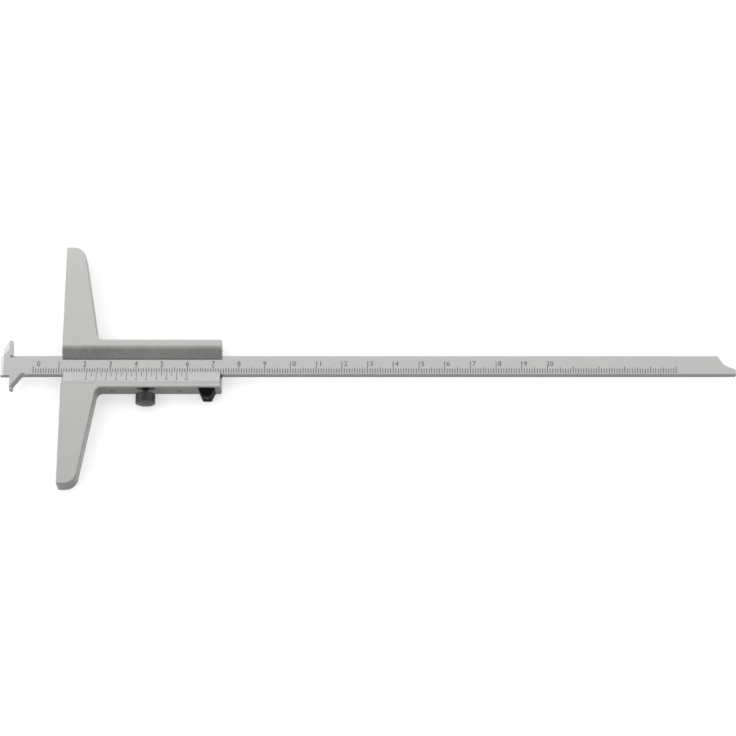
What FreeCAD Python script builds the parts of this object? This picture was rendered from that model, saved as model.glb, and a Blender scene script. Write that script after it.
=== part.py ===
import FreeCAD, Part
import math
import os

# Vernier depth gauge with a double hook, lying on its back. Lengths are in millimetres.
# X runs along the beam, away from the bridge's reference face, which is at X = 0.
# Y runs along the bridge, and is 0 on the beam's centre line.
# Z runs up out of the graduated front, and is 0 on the flat back.

# Beam: a flat bar with a double hook at its left end and a narrow tip at its right end
beam_length = 286.0
beam_height = 8.0
beam_thickness = 2.8
beam_edge_chamfer = 0.45
beam_stand_out = 24.1          # beam's end to the reference face in the rest position
guide_clearance = 0.04         # between the beam and each wall that guides it

# Upper hook, whose offsets are measured from the beam's end
upper_hook_reach = 6.4
upper_hook_back_offset = 0.7
upper_hook_back_height = 3.2   # the back stands upright this far, then leans to the tip
upper_hook_tip_offset = 3.1
upper_hook_tip_width = 1.1
upper_hook_face_offset = 4.55  # the flat face that looks at the bridge
upper_hook_face_top = 0.5      # the flat face stops this far short of the tip
corner_relief_radius = 0.52
corner_relief_shares = (0.75, 0.5)             # of its radius, how far its centre is from the corner
hook_ridge_offset = 3.1        # where the bevel of the hook's back meets the beam's face
hook_bevel_depth = 1.2
hook_bevel_end_height = 2.7    # above the beam, where the bevel leaves the ridge
end_bevel_width = 1.2
end_bevel_depth = 0.42

# Lower hook
lower_hook_reach = 5.9
lower_hook_back_offset = 3.75
lower_hook_tip_width = 1.35
lower_hook_tip_height = 1.4    # the tip's inner side stands upright this far
lower_hook_heel_offset = 8.45
lower_hook_root_radius = 1.3
flank_bevel_width = 0.9
flank_bevel_depth = 1.0

# Narrow tip at the other end
tip_length = 6.95
tip_knee_length = 4.55
tip_knee_height = 4.3
tip_end_height = 2.2

# Stop pin near the tip, flush in front and standing out behind
stop_pin_radius = 0.75
stop_pin_offset = 14.2
stop_pin_stand_out = 1.2
stop_pin_chamfer = 0.2

# Bridge and slider, milled from one bar
bridge_length = 97.9
slider_length = 62.0
rail_width = 6.0               # metal above and below the beam
back_wall = 2.65
lip_thickness = 2.47
wing_root_width = 13.7
wing_tip_width = 6.9
wing_corner_radius = 5.0
wing_root_radius = 2.5
slider_corner_radius = 0.8
front_edge_radius = 0.55
ground_edge_chamfer = 0.2      # round the reference face and the back

# Upper front lip, part of the body
upper_lip_overlap = 1.4
upper_bevel_run = 3.6
upper_bevel_radius = 5.0
upper_lip_edge_height = 0.45

# Vernier plate, which is the lower front lip
vernier_overlap = 1.3
vernier_edge_height = 0.15
vernier_bevel_run = 4.5
vernier_flat_width = 1.0
vernier_setback = 0.3          # from the reference face and from the slider's end
vernier_end_chamfer = 0.25
seam_gap = 0.02
vernier_screw_radius = 0.8
vernier_screw_head_radius = 1.5
vernier_screw_grip = 1.3       # thread in the plate
vernier_screw_shares = (0.12, 0.43, 0.83)      # of the slider's length
dowel_radius = 0.6
dowel_bite = 1.2               # depth of each dowel in the plate
dowel_shares = (0.21, 0.65)                    # of the slider's length

# Gib strip and the two set screws that adjust it
gib_thickness = 1.2
gib_adjustment = 0.16          # play behind the gib
gib_side_clearance = 0.02
gib_end_setback = 0.6
set_screw_radius = 1.0
set_screw_point_radius = 0.35
set_screw_point_length = 0.65
set_screw_bite = 0.3           # depth of the point in the gib
set_screw_recess = 0.2
set_screw_shares = (0.32, 0.74)                # of the slider's length

# Relief in the reference face that the lower hook runs into
root_relief_clearance = 0.4

# Lock screw: a knurled head fixed on a threaded stud, with a swivelling brass pad
lock_screw_share = 0.526                       # of the slider's length
stud_radius = 1.25
stud_clearance = 0.03
thread_pitch = 0.5
released_turn_share = 0.25                     # of a turn, undone at rest
pad_touch_gap = 0.02
pad_thickness = 1.2
pad_relief = 0.1
spigot_radius = 0.6
spigot_length = 0.8
spigot_clearance = 0.03
neck_length = 1.45
lock_head_radius = 3.85
lock_head_length = 4.5
lock_head_chamfer = 0.2
lock_head_dome_height = 0.8
stud_grip = 2.6                # of the stud in the head
knurl_count = 32
knurl_depth = 0.22

# Thumb rest of plastic under the slider's right end, and its screw
thumb_root_width = 6.4
thumb_tip_width = 3.4
thumb_height = 3.3
thumb_inset = 0.25             # from the slider's front and back
thumb_end_offset = 2.35
thumb_corner_radius = 0.9
thumb_edge_chamfer = 0.25
tongue_length = 3.4
tongue_width = 2.6
tongue_height = 0.8
tongue_clearance = 0.03
thumb_screw_radius = 0.7
thumb_screw_head_radius = 1.1
thumb_screw_head_length = 0.8
thumb_screw_recess = 0.3
thumb_screw_grip = 2.6

# Shared by the fasteners
thread_clearance = 0.02
shank_clearance = 0.1
slot_width = 0.4
slot_depth = 0.45
head_recess = 0.1
overrun = 1.0                  # how far each cutting shape runs past what it cuts
pick_tolerance = 0.02          # for finding an edge by its place

# Heights
beam_low = back_wall + guide_clearance
beam_high = beam_low + beam_thickness
seat_height = beam_high + guide_clearance
body_thickness = seat_height + lip_thickness
mid_height = beam_low + beam_thickness / 2
lock_height = body_thickness / 2
upper_lip_edge_top = seat_height + upper_lip_edge_height
vernier_edge_top = seat_height + vernier_edge_height

# Places across the slider
beam_half = beam_height / 2
upper_hook_top = beam_half + upper_hook_reach
lower_hook_bottom = -beam_half - lower_hook_reach
slider_half = beam_half + rail_width
bridge_half = bridge_length / 2
channel_top = beam_half + guide_clearance
gib_inner = -(beam_half + guide_clearance)
gib_outer = gib_inner - gib_thickness
channel_bottom = gib_outer - gib_adjustment
upper_lip_edge = beam_half - upper_lip_overlap
vernier_edge = -(beam_half - vernier_overlap)
vernier_bevel_foot = vernier_edge - vernier_bevel_run
vernier_outer = vernier_bevel_foot - vernier_flat_width

# Places along the beam
beam_end = -beam_stand_out
tip_end = beam_end + beam_length
lock_x = lock_screw_share * slider_length
thumb_x = slider_length - thumb_end_offset - thumb_root_width / 2
vernier_screw_y = (channel_bottom + vernier_outer) / 2

# The lower hook's flank, from the upright side of its tip up to its heel
tip_side_offset = lower_hook_back_offset + lower_hook_tip_width
flank_foot = lower_hook_bottom + lower_hook_tip_height
flank_width = lower_hook_heel_offset - tip_side_offset
flank_height = -beam_half - flank_foot
flank_lean = math.atan2(flank_width, flank_height)

# How far the beam runs in until the upper hook's face lies on the reference face
root_travel = upper_hook_face_offset


def vector(x, y, z):
    return FreeCAD.Vector(x, y, z)


def prism_up(points, low, high):
    """A prism that stands along Z on an outline of (x, y) points."""
    corners = [vector(x, y, low) for x, y in points]
    wire = Part.makePolygon(corners + [corners[0]])
    return Part.Face(wire).extrude(vector(0, 0, high - low))


def prism_along(points, start, end):
    """A prism that lies along X on an outline of (y, z) points."""
    corners = [vector(start, y, z) for y, z in points]
    wire = Part.makePolygon(corners + [corners[0]])
    return Part.Face(wire).extrude(vector(end - start, 0, 0))


def block(x, y, z):
    """A box between two values on each axis."""
    size = [high - low for low, high in (x, y, z)]
    return Part.makeBox(*size, vector(x[0], y[0], z[0]))


def rod_up(radius, x, y, low, high):
    """A round rod along Z."""
    return Part.makeCylinder(radius, high - low, vector(x, y, low), vector(0, 0, 1))


def rod_out(radius, x, z, start, end):
    """A round rod along -Y, from start down to end."""
    return Part.makeCylinder(radius, start - end, vector(x, start, z), vector(0, -1, 0))


def upright_edges(shape, places):
    """The edges along Z that stand on any of the (x, y) places."""
    found = []
    for edge in shape.Edges:
        ends = [vertex.Point for vertex in edge.Vertexes]
        if len(ends) < 2 or abs(ends[0].z - ends[1].z) < pick_tolerance:
            continue
        for x, y in places:
            if all(math.hypot(end.x - x, end.y - y) < pick_tolerance for end in ends):
                found.append(edge)
                break
    return found


def flat_edges(shape, height, keep):
    """The edges that lie flat at a height, where keep accepts their middle point."""
    found = []
    for edge in shape.Edges:
        box = edge.BoundBox
        middle = edge.CenterOfMass
        flat = abs(box.ZMin - height) < pick_tolerance and abs(box.ZMax - height) < pick_tolerance
        if flat and keep(middle):
            found.append(edge)
    return found


def save(shape, name):
    shape.exportStep("parts/" + name + ".step")


def make_beam():
    """The beam with its double hook on the left and its narrow tip on the right."""
    upper_back = beam_end + upper_hook_back_offset
    upper_tip = beam_end + upper_hook_tip_offset
    lower_back = beam_end + lower_hook_back_offset
    face_x = beam_end + upper_hook_face_offset
    heel = (beam_end + lower_hook_heel_offset, -beam_half)
    outline = [
        (beam_end, -beam_half),
        (beam_end, beam_half),
        (upper_back, beam_half),
        (upper_back, beam_half + upper_hook_back_height),
        (upper_tip, upper_hook_top),
        (upper_tip + upper_hook_tip_width, upper_hook_top),
        (face_x, upper_hook_top - upper_hook_face_top),
        (face_x, beam_half),
        (tip_end - tip_length, beam_half),
        (tip_end - tip_knee_length, tip_knee_height - beam_half),
        (tip_end, tip_end_height - beam_half),
        (tip_end, -beam_half),
        heel,
        (beam_end + tip_side_offset, flank_foot),
        (beam_end + tip_side_offset, lower_hook_bottom),
        (lower_back, lower_hook_bottom),
        (lower_back, -beam_half),
    ]
    beam = prism_up(outline, beam_low, beam_high)
    beam = beam.makeFillet(lower_hook_root_radius, upright_edges(beam, [heel]))
    long_edges = [edge for edge in beam.Edges if edge.Length > beam_length / 2]
    beam = beam.makeChamfer(beam_edge_chamfer, long_edges)
    beam = beam.cut([end_bevel(), hook_bevel()] + flank_bevel())
    relief_x = face_x - corner_relief_shares[0] * corner_relief_radius
    relief_y = beam_half - corner_relief_shares[1] * corner_relief_radius
    low, high = beam_low - overrun, beam_high + overrun
    beam = beam.cut(rod_up(corner_relief_radius, relief_x, relief_y, low, high))
    pin_x = tip_end - stop_pin_offset
    return beam.cut(rod_up(stop_pin_radius, pin_x, 0, low, high))


def end_bevel():
    """What is ground off the front of the beam's left end."""
    slope = end_bevel_depth / end_bevel_width
    start = beam_end - overrun
    points = [
        (start, beam_high - end_bevel_depth - slope * overrun),
        (beam_end + end_bevel_width, beam_high),
        (start, beam_high),
    ]
    corners = [vector(x, -slider_half, z) for x, z in points]
    face = Part.Face(Part.makePolygon(corners + [corners[0]]))
    return face.extrude(vector(0, 2 * slider_half, 0))


def hook_bevel():
    """What is ground off the front of the upper hook's back, ending on a slant down to its foot."""
    ridge = beam_end + hook_ridge_offset
    width = hook_ridge_offset - upper_hook_back_offset
    slope = hook_bevel_depth / width
    far = ridge - width - overrun
    low = beam_high - slope * (width + overrun)
    foot = beam_half
    top = upper_hook_top + overrun
    corners = [vector(ridge, foot, beam_high), vector(far, foot, beam_high), vector(far, foot, low)]
    wedge = Part.Face(Part.makePolygon(corners + [corners[0]])).extrude(vector(0, top - foot, 0))
    # the hook stays whole below a slant from the ridge down to the foot of its back
    slant = hook_bevel_end_height / width
    kept = [
        (ridge + overrun, foot - overrun),
        (ridge + overrun, foot + hook_bevel_end_height + slant * overrun),
        (far, foot - slant * overrun),
        (far, foot - overrun - slant * overrun),
    ]
    return wedge.cut(prism_up(kept, low - overrun, beam_high + overrun))


def flank_bevel():
    """What is ground off the front of the lower hook's flank and of the round at its root."""
    heel = vector(beam_end + lower_hook_heel_offset, -beam_half, beam_high)
    down = vector(-math.sin(flank_lean), -math.cos(flank_lean), 0)
    out = vector(math.cos(flank_lean), -math.sin(flank_lean), 0)
    up = vector(0, 0, 1)
    tangent = lower_hook_root_radius / math.tan((math.pi / 2 + flank_lean) / 2)
    start = heel + down * tangent
    fall = flank_bevel_depth / flank_bevel_width * overrun
    corners = [
        start - out * flank_bevel_width,
        start + out * overrun,
        start + out * overrun - up * (flank_bevel_depth + fall),
    ]
    length = flank_height / math.cos(flank_lean) - tangent
    flank = Part.Face(Part.makePolygon(corners + [corners[0]])).extrude(down * (length + overrun))
    rise = flank_bevel_depth + overrun
    widening = flank_bevel_width / flank_bevel_depth * rise
    base = heel + vector(tangent, -lower_hook_root_radius, -flank_bevel_depth)
    radius = lower_hook_root_radius
    root = Part.makeCone(radius, radius + widening, rise, base, up)
    return [flank, root]


def make_stop_pin():
    """The pressed pin that keeps the beam from leaving the slider."""
    pin_x = tip_end - stop_pin_offset
    low = beam_low - stop_pin_stand_out
    pin = rod_up(stop_pin_radius, pin_x, 0, low, beam_high)
    rims = flat_edges(pin, low, lambda middle: True)
    return pin.makeChamfer(stop_pin_chamfer, rims)


def body_blank():
    """The solid bar: bridge and slider seen from the front, with their soft and ground edges."""
    tip_corners = [(wing_tip_width, bridge_half), (wing_tip_width, -bridge_half)]
    roots = [(wing_root_width, slider_half), (wing_root_width, -slider_half)]
    ends = [(slider_length, slider_half), (slider_length, -slider_half)]
    feet = [(0, bridge_half), (0, -bridge_half)]
    outline = [feet[0], tip_corners[0], roots[0], ends[0], ends[1], roots[1], tip_corners[1], feet[1]]
    blank = prism_up(outline, 0, body_thickness)
    blank = blank.makeFillet(wing_corner_radius, upright_edges(blank, tip_corners))
    blank = blank.makeFillet(wing_root_radius, upright_edges(blank, roots))
    blank = blank.makeFillet(slider_corner_radius, upright_edges(blank, ends))
    front = flat_edges(blank, body_thickness, lambda middle: middle.x > pick_tolerance)
    blank = blank.makeFillet(front_edge_radius, front)
    back = flat_edges(blank, 0, lambda middle: middle.x > pick_tolerance)
    blank = blank.makeChamfer(ground_edge_chamfer, back)
    ground = [edge for edge in blank.Edges if edge.BoundBox.XMax < pick_tolerance]
    return blank.makeChamfer(ground_edge_chamfer, ground)


def channel_cuts():
    """The slot for the beam and gib, and the window in front of it with its rounded upper bevel."""
    start, end = -overrun, slider_length + overrun
    slot = block((start, end), (channel_bottom, channel_top), (back_wall, seat_height))
    bevel_top = upper_lip_edge + upper_bevel_run
    rise = body_thickness - upper_lip_edge_top
    above = body_thickness + overrun
    window_points = [
        (vernier_outer, seat_height),
        (upper_lip_edge, seat_height),
        (upper_lip_edge, upper_lip_edge_top),
        (bevel_top, body_thickness),
        (bevel_top, above),
        (vernier_outer, above),
    ]
    window = prism_along(window_points, start, end)
    # the bevel meets the front in a soft round: a sliver between the edge and an arc is milled too
    lean = math.atan2(rise, upper_bevel_run)
    reach = upper_bevel_radius * math.tan(lean / 2)
    edge = vector(start, bevel_top, body_thickness)
    on_bevel = edge + vector(0, -reach * math.cos(lean), -reach * math.sin(lean))
    on_front = edge + vector(0, reach, 0)
    turn = lean / 2
    centre = on_front + vector(0, 0, -upper_bevel_radius)
    crown = centre + vector(0, -math.sin(turn), math.cos(turn)) * upper_bevel_radius
    arc = Part.Arc(on_bevel, crown, on_front).toShape()
    sides = [Part.LineSegment(on_front, edge).toShape(), Part.LineSegment(edge, on_bevel).toShape()]
    sliver = Part.Face(Part.Wire([arc] + sides)).extrude(vector(end - start, 0, 0))
    return [slot, window, sliver]


def root_relief():
    """The pocket in the reference face that takes the lower hook when the beam is all the way in."""
    tip_reach = tip_side_offset - root_travel + root_relief_clearance
    root_reach = tip_reach + (channel_bottom - flank_foot) * math.tan(flank_lean)
    top = channel_bottom + overrun
    bottom = lower_hook_bottom - root_relief_clearance
    points = [
        (-overrun, top),
        (root_reach, top),
        (root_reach, channel_bottom),
        (tip_reach, flank_foot),
        (tip_reach, bottom),
        (-overrun, bottom),
    ]
    return prism_up(points, back_wall, seat_height)


def screw_cuts():
    """Every bore in the body."""
    cuts = []
    y = vernier_screw_y
    for share in vernier_screw_shares:
        x = share * slider_length
        radius = vernier_screw_radius + shank_clearance
        cuts.append(rod_up(radius, x, y, -overrun, seat_height + overrun))
        head = vernier_screw_head_radius + shank_clearance
        cone = Part.makeCone(head, radius, head - radius, vector(x, y, head_recess), vector(0, 0, 1))
        cuts.append(cone)
        cuts.append(rod_up(head, x, y, -overrun, head_recess))
    for share in dowel_shares:
        cuts.append(rod_up(dowel_radius, share * slider_length, y, -overrun, seat_height + overrun))
    outside = -slider_half - overrun
    inside = channel_bottom + overrun
    for share in set_screw_shares:
        x = share * slider_length
        cuts.append(rod_out(set_screw_radius + thread_clearance, x, mid_height, inside, outside))
    cuts.append(rod_out(stud_radius + stud_clearance, lock_x, lock_height, inside, outside))
    end = tongue_end() + thumb_screw_grip
    cuts.append(rod_out(thumb_screw_radius + thread_clearance, thumb_x, mid_height, end, outside))
    cuts.append(tongue(tongue_clearance))
    return cuts


def make_body():
    """Bridge and slider body, milled for the beam, the gib, the vernier plate and the screws."""
    body = body_blank()
    for cut in channel_cuts() + [root_relief()] + screw_cuts():
        body = body.cut(cut)
    return body.removeSplitter()


def make_vernier_plate():
    """The bevelled plate that carries the vernier and closes the channel from below."""
    outer = vernier_outer + seam_gap
    points = [
        (vernier_edge, seat_height),
        (vernier_edge, vernier_edge_top),
        (vernier_bevel_foot, body_thickness),
        (outer, body_thickness),
        (outer, seat_height),
    ]
    start, end = vernier_setback, slider_length - vernier_setback
    plate = prism_along(points, start, end)
    front = [
        edge for edge in plate.Edges
        if edge.BoundBox.XLength < pick_tolerance and edge.BoundBox.ZMax > vernier_edge_top + pick_tolerance
        and edge.BoundBox.YLength > pick_tolerance
    ]
    plate = plate.makeChamfer(vernier_end_chamfer, front)
    radius = vernier_screw_radius + thread_clearance
    top = seat_height + vernier_screw_grip + thread_clearance
    for share in vernier_screw_shares:
        x = share * slider_length
        plate = plate.cut(rod_up(radius, x, vernier_screw_y, seat_height - overrun, top))
    for share in dowel_shares:
        plate = plate.cut(make_dowel(share))
    return plate


def make_dowel(share):
    """A pin that keeps the vernier plate where its zero was set."""
    top = seat_height + dowel_bite
    return rod_up(dowel_radius, share * slider_length, vernier_screw_y, head_recess, top)


def make_vernier_screw(share):
    """A countersunk screw that holds the vernier plate from the back."""
    x = share * slider_length
    y = vernier_screw_y
    top = seat_height + vernier_screw_grip
    cone_height = vernier_screw_head_radius - vernier_screw_radius
    shank = rod_up(vernier_screw_radius, x, y, head_recess, top)
    base = vector(x, y, head_recess)
    cone = Part.makeCone(vernier_screw_head_radius, vernier_screw_radius, cone_height, base, vector(0, 0, 1))
    screw = shank.fuse(cone)
    half = vernier_screw_head_radius + overrun
    depth = head_recess + slot_depth
    slot = block((x - half, x + half), (y - slot_width / 2, y + slot_width / 2), (-overrun, depth))
    return screw.cut(slot).removeSplitter()


def set_screw(share):
    """A slotted set screw with a cone point that bites in the gib."""
    x = share * slider_length
    outer = -slider_half + set_screw_recess
    point = gib_outer + set_screw_bite
    shoulder = point - set_screw_point_length
    shank = rod_out(set_screw_radius, x, mid_height, shoulder, outer)
    base = vector(x, shoulder, mid_height)
    length = set_screw_point_length
    cone = Part.makeCone(set_screw_radius, set_screw_point_radius, length, base, vector(0, 1, 0))
    half = set_screw_radius + overrun
    slot = block(
        (x - half, x + half),
        (outer - overrun, outer + slot_depth),
        (mid_height - slot_width / 2, mid_height + slot_width / 2),
    )
    return shank.fuse(cone).cut(slot)


def make_gib():
    """The brass strip that the beam's lower edge runs on."""
    root_end = lower_hook_heel_offset + lower_hook_root_radius - root_travel
    start = root_end + root_relief_clearance
    end = slider_length - gib_end_setback
    height = (back_wall + gib_side_clearance, seat_height - gib_side_clearance)
    gib = block((start, end), (gib_outer, gib_inner), height)
    for share in set_screw_shares:
        gib = gib.cut(set_screw(share))
    return gib


def pad_front():
    """Where the pad's face lies, a quarter turn back from locked."""
    return gib_outer - pad_touch_gap - released_turn_share * thread_pitch


def make_lock_pad():
    """The brass pad that swivels on the stud's nose."""
    front = pad_front()
    back = front - pad_thickness
    pad = rod_out(stud_radius - pad_relief, lock_x, lock_height, front, back)
    spigot = rod_out(spigot_radius, lock_x, lock_height, back, back - spigot_length)
    return pad.fuse(spigot)


def lock_head_start():
    return -slider_half - neck_length


def make_lock_stud():
    """The threaded stud, bored at its nose for the pad's spigot."""
    nose = pad_front() - pad_thickness
    end = lock_head_start() - stud_grip
    stud = rod_out(stud_radius, lock_x, lock_height, nose, end)
    depth = nose - spigot_length - spigot_clearance
    bore = rod_out(spigot_radius + spigot_clearance, lock_x, lock_height, nose + overrun, depth)
    return stud.cut(bore)


def make_lock_head():
    """The knurled head, domed at its end and bored for the stud."""
    start = lock_head_start()
    end = start - lock_head_length
    head = rod_out(lock_head_radius, lock_x, lock_height, start, end)
    rims = [edge for edge in head.Edges if edge.BoundBox.YMin > start - pick_tolerance]
    head = head.makeChamfer(lock_head_chamfer, rims)
    dome_radius = (lock_head_radius ** 2 + lock_head_dome_height ** 2) / (2 * lock_head_dome_height)
    centre = vector(lock_x, end + dome_radius, lock_height)
    head = head.common(Part.makeSphere(dome_radius, centre))
    head = head.cut(rod_out(stud_radius, lock_x, lock_height, start + overrun, start - stud_grip))
    side = knurl_depth * math.sqrt(2)
    grooves = []
    for number in range(knurl_count):
        angle = 360 * number / knurl_count
        length = lock_head_length + 2 * overrun
        corner = vector(-side / 2, -length / 2, -side / 2)
        groove = Part.makeBox(side, length, side, corner)
        groove.rotate(vector(0, 0, 0), vector(0, 1, 0), 45)
        groove.translate(vector(lock_head_radius, 0, 0))
        groove.rotate(vector(0, 0, 0), vector(0, 1, 0), angle)
        groove.translate(vector(lock_x, (start + end) / 2, lock_height))
        grooves.append(groove)
    return head.cut(grooves)


def tongue_end():
    return -slider_half + tongue_height


def tongue(gap):
    """The thumb rest's tongue, or with a gap the slot in the slider that it sits in."""
    half_length = tongue_length / 2 + gap
    half_width = tongue_width / 2 + gap
    return block(
        (thumb_x - half_length, thumb_x + half_length),
        (-slider_half - overrun, tongue_end() + gap),
        (mid_height - half_width, mid_height + half_width),
    )


def make_thumb_rest():
    """The plastic thumb rest, narrower at its tip, with a tongue on its root."""
    root, tip = thumb_root_width / 2, thumb_tip_width / 2
    far = -slider_half - thumb_height
    tips = [(thumb_x + tip, far), (thumb_x - tip, far)]
    outline = [(thumb_x - root, -slider_half), (thumb_x + root, -slider_half)] + tips
    low, high = thumb_inset, body_thickness - thumb_inset
    rest = prism_up(outline, low, high)
    rest = rest.makeFillet(thumb_corner_radius, upright_edges(rest, tips))
    off_root = lambda middle: middle.y < -slider_half - pick_tolerance
    rims = flat_edges(rest, low, off_root) + flat_edges(rest, high, off_root)
    rest = rest.makeChamfer(thumb_edge_chamfer, rims)
    rest = rest.fuse(tongue(0)).removeSplitter()
    radius = thumb_screw_radius + shank_clearance
    rest = rest.cut(rod_out(radius, thumb_x, mid_height, tongue_end() + overrun, far - overrun))
    head_seat = far + thumb_screw_recess + thumb_screw_head_length
    head = thumb_screw_head_radius + shank_clearance
    return rest.cut(rod_out(head, thumb_x, mid_height, head_seat, far - overrun))


def make_thumb_screw():
    """The screw that holds the thumb rest from below."""
    far = -slider_half - thumb_height + thumb_screw_recess
    seat = far + thumb_screw_head_length
    shank = rod_out(thumb_screw_radius, thumb_x, mid_height, tongue_end() + thumb_screw_grip, far)
    head = rod_out(thumb_screw_head_radius, thumb_x, mid_height, seat, far)
    half = thumb_screw_head_radius + overrun
    slot = block(
        (thumb_x - half, thumb_x + half),
        (far - overrun, far + slot_depth),
        (mid_height - slot_width / 2, mid_height + slot_width / 2),
    )
    return shank.fuse(head).cut(slot)


os.makedirs("parts", exist_ok=True)
save(make_beam(), "beam")
save(make_stop_pin(), "beam_stop_pin")
save(make_body(), "bridge_slider_body")
save(make_vernier_plate(), "vernier_plate")
for number, share in enumerate(vernier_screw_shares, 1):
    save(make_vernier_screw(share), f"vernier_plate_screw_{number}")
for number, share in enumerate(dowel_shares, 1):
    save(make_dowel(share), f"vernier_plate_dowel_{number}")
save(make_gib(), "gib_strip")
for number, share in enumerate(set_screw_shares, 1):
    save(set_screw(share), f"gib_set_screw_{number}")
save(make_lock_pad(), "lock_pad")
save(make_lock_stud(), "lock_screw_stud")
save(make_lock_head(), "lock_screw_head")
save(make_thumb_rest(), "thumb_rest")
save(make_thumb_screw(), "thumb_rest_screw")
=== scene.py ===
import math

import bmesh
import bpy
from mathutils import Matrix, Vector


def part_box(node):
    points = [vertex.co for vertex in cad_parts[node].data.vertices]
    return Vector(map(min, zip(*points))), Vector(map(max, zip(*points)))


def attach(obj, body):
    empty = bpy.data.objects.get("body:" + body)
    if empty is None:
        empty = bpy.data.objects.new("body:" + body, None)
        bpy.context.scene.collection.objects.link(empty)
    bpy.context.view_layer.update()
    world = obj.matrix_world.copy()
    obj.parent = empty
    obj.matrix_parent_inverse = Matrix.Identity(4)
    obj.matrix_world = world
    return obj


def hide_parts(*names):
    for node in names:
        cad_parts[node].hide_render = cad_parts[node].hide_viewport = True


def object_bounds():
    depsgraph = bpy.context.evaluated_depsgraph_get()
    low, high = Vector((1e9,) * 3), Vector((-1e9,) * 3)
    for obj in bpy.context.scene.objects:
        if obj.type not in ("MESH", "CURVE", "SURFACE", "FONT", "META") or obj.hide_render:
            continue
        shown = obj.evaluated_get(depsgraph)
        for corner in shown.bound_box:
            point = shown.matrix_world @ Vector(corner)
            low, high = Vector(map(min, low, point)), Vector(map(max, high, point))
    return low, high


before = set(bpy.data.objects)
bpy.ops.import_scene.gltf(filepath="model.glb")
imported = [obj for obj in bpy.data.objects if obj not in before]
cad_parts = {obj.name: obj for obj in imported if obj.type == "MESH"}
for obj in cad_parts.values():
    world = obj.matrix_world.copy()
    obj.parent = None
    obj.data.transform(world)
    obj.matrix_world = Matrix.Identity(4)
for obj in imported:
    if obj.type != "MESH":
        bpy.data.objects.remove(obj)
cad_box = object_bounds()

# Units
MM = 0.001

# Camera, square frame, looking down on the gauge from the lock screw's side
camera_target = Vector((118.9, -1.08, 5.49)) * MM
camera_distance = 880 * MM
camera_tilt = 20               # degrees from straight above
camera_lens = 110.7            # millimetres of focal length
camera_sensor = 36

# Main scale on the beam
scale_zero_offset = 12.8 * MM  # from the beam's hooked end
scale_pitch = 1.0 * MM
scale_lines = 250
lines_in_centimetre = 10
lines_in_half = 5
last_number = 20
main_line_width = 0.28 * MM
main_edge_gap = 0.46 * MM      # from the beam's lower edge to the foot of the lines
millimetre_line = 2.0 * MM
half_line = 2.45 * MM
centimetre_line = 2.9 * MM
main_number_height = 2.0 * MM
main_number_middle = 0.45 * MM    # height of the numbers' middle above the beam's centre line
zero_shift = 2.1 * MM             # the zero stands this far beyond its line
two_figure_shift = 1.0 * MM       # numbers of two figures stand this far beyond theirs

# Vernier on the bevelled plate
vernier_zero = 9.6 * MM           # from the reference face
vernier_divisions = 20
divisions_in_number = 2
vernier_length = 39 * MM
vernier_line_width = 0.18 * MM
vernier_edge_gap = 0.12 * MM
vernier_short_line = 2.5 * MM
vernier_long_line = 3.3 * MM
vernier_number_height = 1.25 * MM
vernier_number_middle = 4.15 * MM  # from the plate's edge, down the bevel

# Marks are filled with ink that stands a hair above the metal
ink_depth = 0.03 * MM
ink_height = 0.004 * MM
figure_smoothness = 6          # straight pieces in each curve of a figure

# Thread of the lock screw
thread_pitch = 0.5 * MM
thread_depth = 0.27 * MM
thread_sides = 48
thread_steps = 12              # rows of points in each turn
nose_bore_radius = 0.63 * MM
nose_bore_depth = 0.83 * MM
nose_chamfer = 0.3 * MM

# Sky: brightness by the sine of the angle towards the bridge's upper end, and at the left and right
sky_levels = [(-1.0, 0.98), (-0.9, 0.7), (-0.75, 0.42), (-0.6, 0.24), (-0.45, 0.18), (-0.3, 0.23),
              (-0.15, 0.32), (0.0, 0.42), (0.1, 0.46), (0.18, 0.46), (0.26, 0.52), (0.34, 0.8),
              (0.42, 1.3), (0.5, 1.46), (0.7, 1.38), (0.8, 1.34), (0.9, 1.25), (0.96, 1.08), (1.0, 0.9)]
left_level = 1.45
right_level = 1.0
side_start = 0.3               # sine of the angle to the left or right where the side light begins
side_end = 0.6                 # and where it is full
highest_level = 2.0            # the sky's strength, which the levels are shares of

# Floor
floor_size = 12.0              # metres
floor_drop = 0.02 * MM         # below the gauge's back
floor_colour = (0.8, 0.8, 0.8, 1)
floor_glow = 0.5               # lifts the floor to white for the camera and in reflections

# Steel: the tone of each ground face, the tint of the clouds over it, and its roughness
beam_tone = (0.6, 0.6, 0.595)
beam_tint = (0.61, 0.605, 0.595)
beam_roughness = 0.31
body_tone = (0.585, 0.58, 0.565)
body_tint = (0.575, 0.58, 0.555)
body_roughness = 0.33
plate_tone = (0.56, 0.56, 0.555)
plate_tint = (0.575, 0.575, 0.57)
plate_roughness = 0.31
screw_tone = (0.3, 0.3, 0.3)
screw_roughness = 0.34
head_tone = (0.09, 0.09, 0.09)
head_roughness = 0.4

# Grinding lines run along the axis where the number is small
beam_grain = (0.03, 1, 1)
body_grain = (1, 0.06, 1)

# The upright sides are smoother than the ground faces, and are painted darker as shade
side_painted_shade = 0.2
side_roughness = -0.12
# Between these upward parts of the normal the painted side shade gives way to the ground faces' colour;
# the body's wider span also paints its bevels partly darker
side_slopes = (0.5, 0.9)       # upward parts of the normal between which it turns to the ground finish
body_slopes = (0.34, 0.98)
wear_and_highlight_share = 0.3

# Wear, and on the satin steel a painted edge highlight, by the cosine between a face and its rounded
# edge
wear_full = 0.86
wear_start = 0.995
rounding_samples = 4

# The middle part of a noise, which is spread over a material's range
noise_low = 0.3
noise_high = 0.7


# Node helpers

def start_material(name):
    """A new material with one main shader, and its node tree."""
    material = bpy.data.materials.new(name)
    material.use_nodes = True
    tree = material.node_tree
    tree.nodes.clear()
    output = tree.nodes.new("ShaderNodeOutputMaterial")
    shader = tree.nodes.new("ShaderNodeBsdfPrincipled")
    tree.links.new(shader.outputs["BSDF"], output.inputs["Surface"])
    return material, tree, shader


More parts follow.
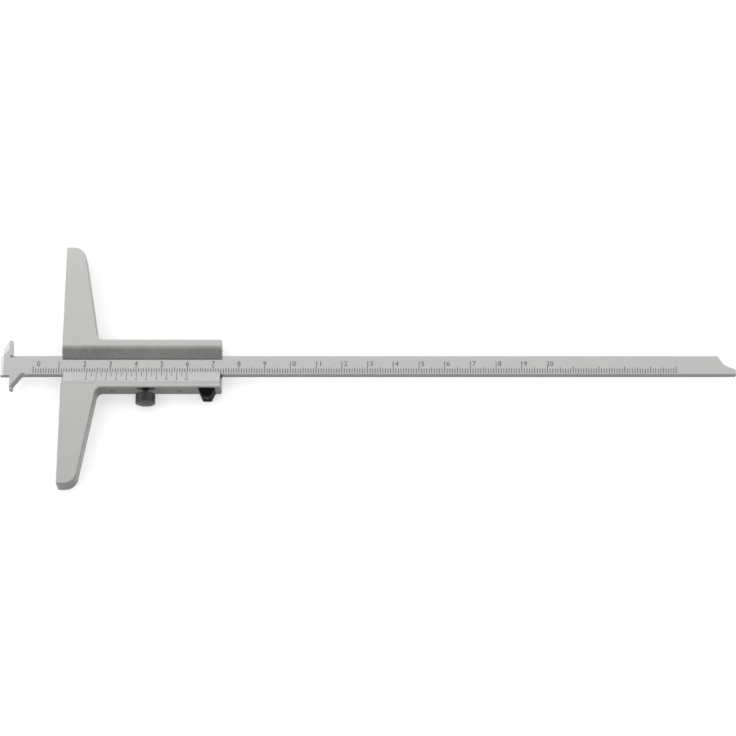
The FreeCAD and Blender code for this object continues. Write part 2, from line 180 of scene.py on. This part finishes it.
def noise(tree, scale, stretch=(1, 1, 1), detail=3.0):
    """Noise in the object's coordinates, with cells of 1/scale metres, longer where stretch is small."""
    place = tree.nodes.new("ShaderNodeTexCoord")
    mapping = tree.nodes.new("ShaderNodeMapping")
    mapping.inputs["Scale"].default_value = stretch
    texture = tree.nodes.new("ShaderNodeTexNoise")
    texture.inputs["Scale"].default_value = scale
    texture.inputs["Detail"].default_value = detail
    tree.links.new(place.outputs["Object"], mapping.inputs["Vector"])
    tree.links.new(mapping.outputs["Vector"], texture.inputs["Vector"])
    return texture.outputs["Fac"]


def spread(tree, value, low, high, start=noise_low, end=noise_high):
    """Spreads a value from its start and end, or a noise's middle part, to low and high."""
    node = tree.nodes.new("ShaderNodeMapRange")
    node.inputs["From Min"].default_value = start
    node.inputs["From Max"].default_value = end
    node.inputs["To Min"].default_value = low
    node.inputs["To Max"].default_value = high
    tree.links.new(value, node.inputs["Value"])
    return node.outputs["Result"]


def combine(tree, kind, first, second):
    """A sum, product or other operation on two values."""
    node = tree.nodes.new("ShaderNodeMath")
    node.operation = kind
    for socket, value in zip(node.inputs, (first, second)):
        if isinstance(value, (int, float)):
            socket.default_value = value
        else:
            tree.links.new(value, socket)
    return node.outputs["Value"]


def blend_colours(tree, factor, first, second):
    """A mix of two colours, each a colour or a socket."""
    node = tree.nodes.new("ShaderNodeMix")
    node.data_type = "RGBA"
    tree.links.new(factor, node.inputs["Factor"])
    for name, value in (("A", first), ("B", second)):
        socket = next(s for s in node.inputs if s.name == name and s.type == "RGBA")
        if isinstance(value, (tuple, list)):
            socket.default_value = (*value, 1)
        else:
            tree.links.new(value, socket)
    return next(s for s in node.outputs if s.type == "RGBA")


def rounded(tree, radius):
    """The surface's normal with its edges rounded."""
    bevel = tree.nodes.new("ShaderNodeBevel")
    bevel.samples = rounding_samples
    bevel.inputs["Radius"].default_value = radius
    return bevel.outputs["Normal"]


def edge_wear(tree, radius):
    """Near 1 along sharp edges and 0 on flat faces."""
    geometry = tree.nodes.new("ShaderNodeNewGeometry")
    compare = tree.nodes.new("ShaderNodeVectorMath")
    compare.operation = "DOT_PRODUCT"
    tree.links.new(rounded(tree, radius), compare.inputs[0])
    tree.links.new(geometry.outputs["Normal"], compare.inputs[1])
    return spread(tree, compare.outputs["Value"], 1, 0, wear_full, wear_start)


def facing_up(tree, start, end):
    """1 on faces that look up or down, falling to 0 on upright ones, by the slope of the face."""
    place = tree.nodes.new("ShaderNodeTexCoord")
    split = tree.nodes.new("ShaderNodeSeparateXYZ")
    tree.links.new(place.outputs["Normal"], split.inputs["Vector"])
    slope = combine(tree, "ABSOLUTE", split.outputs["Z"], 0)
    return spread(tree, slope, 0, 1, start, end)


def bump(tree, height, distance, normal):
    """The normal, roughened by a height that stands out by a distance."""
    node = tree.nodes.new("ShaderNodeBump")
    node.inputs["Strength"].default_value = 1
    node.inputs["Distance"].default_value = distance
    tree.links.new(height, node.inputs["Height"])
    tree.links.new(normal, node.inputs["Normal"])
    return node.outputs["Normal"]


def shade(colour, factor):
    """A colour made darker or brighter, up to white."""
    return tuple(min(1, factor * value) for value in colour)


def link_surface(tree, shader, colour, roughness, normal):
    """Links a surface's colour, roughness and normal to its shader."""
    tree.links.new(colour, shader.inputs["Base Color"])
    tree.links.new(roughness, shader.inputs["Roughness"])
    tree.links.new(normal, shader.inputs["Normal"])


# Materials. Noise scales are in cells per metre

def satin_steel(name, tone, tint, roughness, grain, slopes):
    """Ground and satin-plated steel, with its grinding lines in the grain's direction."""
    line_scale = 9000
    band_scale = 1600
    cloud_scale = 45
    band_shade = 0.93
    band_share = 0.55
    wear_and_highlight_shade = 1.15
    band_smoother = 0.05
    band_rougher = 0.06
    cloud_roughness = 0.03
    line_depth = 0.0012 * MM
    rounding = 0.06 * MM
    wear_radius = 0.12 * MM

    material, tree, shader = start_material(name)
    lines = noise(tree, line_scale, grain, detail=2)
    bands = noise(tree, band_scale, grain)
    clouds = noise(tree, cloud_scale, detail=2)
    base = blend_colours(tree, spread(tree, clouds, 0, 1), tone, tint)
    base = blend_colours(tree, spread(tree, bands, 0, band_share), base, shade(tone, band_shade))
    # Edges brighter: partly wear, partly a painted highlight
    worn = combine(tree, "MULTIPLY", edge_wear(tree, wear_radius), wear_and_highlight_share)
    ground = blend_colours(tree, worn, base, shade(tone, wear_and_highlight_shade))
    flat = facing_up(tree, *slopes)
    # Painted shade: upright faces, and in part the body's bevels, take a darker copy of the tone; the
    # roughness change below is real
    colour = blend_colours(tree, flat, shade(tone, side_painted_shade), ground)
    rough = spread(tree, bands, roughness - band_smoother, roughness + band_rougher)
    rough = combine(tree, "ADD", rough, spread(tree, clouds, -cloud_roughness, cloud_roughness))
    rough = combine(tree, "ADD", rough, spread(tree, flat, side_roughness, 0, 0, 1))
    link_surface(tree, shader, colour, rough, bump(tree, lines, line_depth, rounded(tree, rounding)))
    shader.inputs["Metallic"].default_value = 1
    return material


def turned_steel(name, tone, roughness):
    """Dark turned or blackened steel with fine specks and bare, brighter edges."""
    speck_scale = 7000
    patch_scale = 600
    patch_shade = 0.7
    bare_shade = 2.0
    bare_share = 0.55
    speck_smoother = 0.06
    speck_rougher = 0.08
    speck_depth = 0.004 * MM
    rounding = 0.05 * MM
    wear_radius = 0.08 * MM

    material, tree, shader = start_material(name)
    specks = noise(tree, speck_scale, detail=4)
    patches = noise(tree, patch_scale)
    base = blend_colours(tree, spread(tree, patches, 0, 1), tone, shade(tone, patch_shade))
    worn = combine(tree, "MULTIPLY", edge_wear(tree, wear_radius), bare_share)
    colour = blend_colours(tree, worn, base, shade(tone, bare_shade))
    rough = spread(tree, specks, roughness - speck_smoother, roughness + speck_rougher)
    link_surface(tree, shader, colour, rough, bump(tree, specks, speck_depth, rounded(tree, rounding)))
    shader.inputs["Metallic"].default_value = 1
    return material


def plain_brass(name):
    """Machined brass, slightly tarnished in patches."""
    clean = (0.66, 0.50, 0.22)
    tarnished = (0.52, 0.37, 0.15)
    patch_scale = 500
    line_scale = 6000
    line_grain = (0.05, 1, 1)
    smoothest = 0.26
    roughest = 0.4
    line_depth = 0.002 * MM
    rounding = 0.06 * MM

    material, tree, shader = start_material(name)
    patches = noise(tree, patch_scale, detail=4)
    lines = noise(tree, line_scale, line_grain, detail=2)
    colour = blend_colours(tree, spread(tree, patches, 0, 1), clean, tarnished)
    rough = spread(tree, lines, smoothest, roughest)
    link_surface(tree, shader, colour, rough, bump(tree, lines, line_depth, rounded(tree, rounding)))
    shader.inputs["Metallic"].default_value = 1
    return material


def moulded_plastic(name):
    """Matt black plastic with a fine grain and slightly greyer, rubbed edges."""
    dark = (0.003, 0.003, 0.0035)
    greyer = (0.005, 0.005, 0.005)
    rubbed = (0.014, 0.014, 0.014)
    rubbed_share = 0.4
    specular = 0.04
    grain_scale = 4500
    patch_scale = 400
    smoothest = 0.42
    roughest = 0.56
    grain_depth = 0.006 * MM
    rounding = 0.1 * MM
    wear_radius = 0.15 * MM

    material, tree, shader = start_material(name)
    grain = noise(tree, grain_scale)
    patches = noise(tree, patch_scale, detail=2)
    base = blend_colours(tree, spread(tree, patches, 0, 1), dark, greyer)
    worn = combine(tree, "MULTIPLY", edge_wear(tree, wear_radius), rubbed_share)
    colour = blend_colours(tree, worn, base, rubbed)
    rough = spread(tree, grain, smoothest, roughest)
    link_surface(tree, shader, colour, rough, bump(tree, grain, grain_depth, rounded(tree, rounding)))
    shader.inputs["Specular IOR Level"].default_value = specular
    return material


def scale_ink(name):
    """Black filling of the engraved marks, greyer in patches."""
    dark = (0.03, 0.03, 0.03)
    greyer = (0.07, 0.07, 0.068)
    patch_scale = 3000
    grain_scale = 9000
    smoothest = 0.45
    roughest = 0.62
    grain_depth = 0.001 * MM
    rounding = 0.01 * MM

    material, tree, shader = start_material(name)
    patches = noise(tree, patch_scale)
    grain = noise(tree, grain_scale, detail=2)
    colour = blend_colours(tree, spread(tree, patches, 0, 1), dark, greyer)
    rough = spread(tree, patches, smoothest, roughest)
    link_surface(tree, shader, colour, rough, bump(tree, grain, grain_depth, rounded(tree, rounding)))
    return material


def finish_nodes():
    """Gives every CAD node the finish of its material slot, and returns the finishes by slot."""
    finishes = {
        "beam_steel": satin_steel(
            "fine satin beam", beam_tone, beam_tint, beam_roughness, beam_grain, side_slopes),
        "body_steel": satin_steel(
            "satin body", body_tone, body_tint, body_roughness, body_grain, body_slopes),
        "vernier_steel": satin_steel(
            "fine satin plate", plate_tone, plate_tint, plate_roughness, beam_grain, side_slopes),
        "screw_steel": turned_steel("turned steel", screw_tone, screw_roughness),
        "knurled_steel": turned_steel("blackened steel", head_tone, head_roughness),
        "brass": plain_brass("machined brass"),
        "black_plastic": moulded_plastic("moulded plastic"),
    }
    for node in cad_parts.values():
        for place in node.material_slots:
            place.material = finishes[place.material.name]
    return finishes


# Mesh helpers

def piece_from(mesh_data, name, body, material):
    """Turns a bmesh into a piece that rides on a body and takes a slot's finish."""
    mesh = bpy.data.meshes.new(name)
    mesh_data.to_mesh(mesh)
    mesh_data.free()
    piece = bpy.data.objects.new(name, mesh)
    bpy.context.scene.collection.objects.link(piece)
    mesh.materials.append(material)
    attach(piece, body)
    return piece


def surface_at(origin, up):
    """A placement whose x runs along X, whose y runs up a surface and whose z stands out of it."""
    across = Vector((1, 0, 0))
    up = up.normalized()
    out = across.cross(up)
    place = Matrix((across, up, out)).transposed().to_4x4()
    place.translation = origin
    return place


def add_line(marks, place, x, foot, length, width):
    """One engraved line, from its foot up the surface."""
    size = Vector((width, length, ink_depth + ink_height))
    middle = Vector((x, foot + length / 2, (ink_height - ink_depth) / 2))
    matrix = place @ Matrix.Translation(middle) @ Matrix.Diagonal(size).to_4x4()
    bmesh.ops.create_cube(marks, size=1, matrix=matrix)


def add_number(marks, place, number, x, y, height):
    """A number's figures, with their middle at a place on the surface."""
    curve = bpy.data.curves.new("number", "FONT")
    curve.body = str(number)
    curve.extrude = 1
    curve.resolution_u = figure_smoothness
    text = bpy.data.objects.new("number", curve)
    mesh = bpy.data.meshes.new_from_object(text)
    corners = [vertex.co for vertex in mesh.vertices]
    low = Vector([min(corner[axis] for corner in corners) for axis in range(3)])
    high = Vector([max(corner[axis] for corner in corners) for axis in range(3)])
    scale = height / (high.y - low.y)
    size = Vector((scale, scale, (ink_depth + ink_height) / (high.z - low.z)))
    matrix = Matrix.Diagonal(size).to_4x4() @ Matrix.Translation(-(low + high) / 2)
    middle = Vector((x, y, (ink_height - ink_depth) / 2))
    mesh.transform(place @ Matrix.Translation(middle) @ matrix)
    marks.from_mesh(mesh)
    bpy.data.objects.remove(text)
    bpy.data.curves.remove(curve)
    bpy.data.meshes.remove(mesh)


# Pieces

def scale_half_height():
    """Half the height of the beam's bar, read behind its hooks."""
    low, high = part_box("beam")
    bar = [v.co.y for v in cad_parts["beam"].data.vertices if v.co.x > (low.x + high.x) / 2]
    return max(bar)


def make_main_scale(ink):
    """The beam's millimetre lines and centimetre numbers."""
    low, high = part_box("beam")
    middle = (low.y + high.y) / 2
    half_height = scale_half_height()
    place = surface_at(Vector((low.x + scale_zero_offset, middle, high.z)), Vector((0, 1, 0)))
    lines = bmesh.new()
    numbers = bmesh.new()
    foot = -half_height + main_edge_gap
    for count in range(scale_lines + 1):
        length = millimetre_line
        if count % lines_in_centimetre == 0:
            length = centimetre_line
        elif count % lines_in_half == 0:
            length = half_line
        add_line(lines, place, count * scale_pitch, foot, length, main_line_width)
    for number in range(last_number + 1):
        shift = zero_shift if number == 0 else two_figure_shift if number > 9 else 0
        x = number * lines_in_centimetre * scale_pitch + shift
        add_number(numbers, place, number, x, main_number_middle, main_number_height)
    piece_from(lines, "main_scale_lines", "beam", ink)
    piece_from(numbers, "main_scale_numbers", "beam", ink)


def make_vernier_scale(ink):
    """The vernier's lines and numbers on the plate's bevel."""
    low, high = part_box("vernier_plate")
    corners = [vertex.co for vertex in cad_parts["vernier_plate"].data.vertices]
    near = 0.01 * MM
    edge_z = max(corner.z for corner in corners if corner.y > high.y - near)
    foot_y = max(corner.y for corner in corners if corner.z > high.z - near)
    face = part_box("bridge_slider_body")[0].x
    edge = Vector((face + vernier_zero, high.y, edge_z))
    place = surface_at(edge, Vector((0, high.y - foot_y, edge_z - high.z)))
    lines = bmesh.new()
    numbers = bmesh.new()
    for count in range(vernier_divisions + 1):
        x = count * vernier_length / vernier_divisions
        numbered = count % divisions_in_number == 0
        length = vernier_long_line if numbered else vernier_short_line
        add_line(lines, place, x, -vernier_edge_gap - length, length, vernier_line_width)
        if numbered:
            number = count // divisions_in_number
            add_number(numbers, place, number, x, -vernier_number_middle, vernier_number_height)
    piece_from(lines, "vernier_lines", "slider", ink)
    piece_from(numbers, "vernier_numbers", "slider", ink)


def make_stud(steel):
    """The lock screw's threaded stud, with a chamfered nose that is bored for the pad."""
    low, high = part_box("lock_screw_stud")
    centre = (low + high) / 2
    radius = (high.z - low.z) / 2
    rows = round((high.y - low.y) / thread_pitch * thread_steps)
    stud = bmesh.new()
    rings = []

    def ring(y, radius_at):
        """A ring of points at y, with their radius by the share of a turn."""
        points = []
        for side in range(thread_sides):
            turn = side / thread_sides
            angle = 2 * math.pi * turn
            r = radius_at(turn)
            spot = (centre.x + r * math.cos(angle), y, centre.z + r * math.sin(angle))
            points.append(stud.verts.new(spot))
        rings.append(points)

    ring(high.y - nose_bore_depth, lambda turn: nose_bore_radius)
    ring(high.y, lambda turn: nose_bore_radius)
    for row in range(rows + 1):
        y = high.y + (low.y - high.y) * row / rows
        limit = min(radius, radius - nose_chamfer + (high.y - y))

        def thread(turn):
            """The thread's V groove, cut back by the nose's chamfer."""
            phase = (y / thread_pitch + turn) % 1
            return min(limit, radius - thread_depth * abs(2 * phase - 1))

        ring(y, thread)
    for first, second in zip(rings, rings[1:]):
        for side in range(thread_sides):
            after = (side + 1) % thread_sides
            stud.faces.new((first[side], first[after], second[after], second[side]))
    stud.faces.new(rings[0][::-1])
    stud.faces.new(rings[-1])
    bmesh.ops.recalc_face_normals(stud, faces=stud.faces)
    piece = piece_from(stud, "threaded_stud", "lock_screw", steel)
    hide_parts("lock_screw_stud")


# Stage, light and camera

def make_floor():
    """A wide pale floor under the gauge, which the camera and reflections see as white."""
    mesh = bpy.data.meshes.new("floor")
    half = floor_size / 2
    corners = [(-half, -half, 0), (half, -half, 0), (half, half, 0), (-half, half, 0)]
    mesh.from_pydata(corners, [], [(0, 1, 2, 3)])
    floor = bpy.data.objects.new("floor", mesh)
    floor.location = (camera_target.x, camera_target.y, cad_box[0].z - floor_drop)
    bpy.context.scene.collection.objects.link(floor)
    material, tree, shader = start_material("pale floor")
    shader.inputs["Base Color"].default_value = floor_colour
    shader.inputs["Roughness"].default_value = 1
    shader.inputs["Specular IOR Level"].default_value = 0
    path = tree.nodes.new("ShaderNodeLightPath")
    seen = combine(tree, "ADD", path.outputs["Is Camera Ray"], path.outputs["Is Glossy Ray"])
    seen = combine(tree, "ADD", seen, path.outputs["Is Transmission Ray"])
    glow = tree.nodes.new("ShaderNodeEmission")
    tree.links.new(spread(tree, seen, 0, floor_glow, 0, 1), glow.inputs["Strength"])
    both = tree.nodes.new("ShaderNodeAddShader")
    tree.links.new(shader.outputs["BSDF"], both.inputs[0])
    tree.links.new(glow.outputs["Emission"], both.inputs[1])
    output = tree.nodes["Material Output"]
    tree.links.new(both.outputs["Shader"], output.inputs["Surface"])
    mesh.materials.append(material)


def make_sky():
    """A studio tent: bright at the left, right and far sides, and dim on the camera's side."""
    world = bpy.data.worlds.new("studio")
    bpy.context.scene.world = world
    world.use_nodes = True
    tree = world.node_tree
    place = tree.nodes.new("ShaderNodeTexCoord")
    split = tree.nodes.new("ShaderNodeSeparateXYZ")
    ramp = tree.nodes.new("ShaderNodeValToRGB")
    elements = ramp.color_ramp.elements
    while len(elements) < len(sky_levels):
        elements.new(0.5)
    for element, (sine, level) in zip(elements, sky_levels):
        share = level / highest_level
        element.position = (sine + 1) / 2
        element.color = (share, share, share, 1)
    tree.links.new(place.outputs["Generated"], split.inputs["Vector"])
    tree.links.new(spread(tree, split.outputs["Y"], 0, 1, -1, 1), ramp.inputs["Fac"])
    colour = ramp.outputs["Color"]
    for direction, level in ((-1, left_level), (1, right_level)):
        sideways = combine(tree, "MULTIPLY", split.outputs["X"], direction)
        factor = spread(tree, sideways, 0, 1, side_start, side_end)
        factor.node.interpolation_type = "SMOOTHSTEP"
        share = level / highest_level
        colour = blend_colours(tree, factor, colour, (share, share, share))
    background = tree.nodes["Background"]
    background.inputs["Strength"].default_value = highest_level
    tree.links.new(colour, background.inputs["Color"])


def make_camera():
    """A camera at the photograph's distance and angle."""
    data = bpy.data.cameras.new("camera")
    data.lens = camera_lens
    data.sensor_width = camera_sensor
    camera = bpy.data.objects.new("camera", data)
    tilt = math.radians(camera_tilt)
    back = Vector((0, -math.sin(tilt), math.cos(tilt)))
    camera.location = camera_target + camera_distance * back
    camera.rotation_euler = (tilt, 0, 0)
    bpy.context.scene.collection.objects.link(camera)
    bpy.context.scene.camera = camera


finishes = finish_nodes()
ink = scale_ink("scale ink")
make_main_scale(ink)
make_vernier_scale(ink)
make_stud(finishes["screw_steel"])
make_floor()
make_sky()
make_camera()
bpy.context.scene.view_settings.view_transform = "Standard"
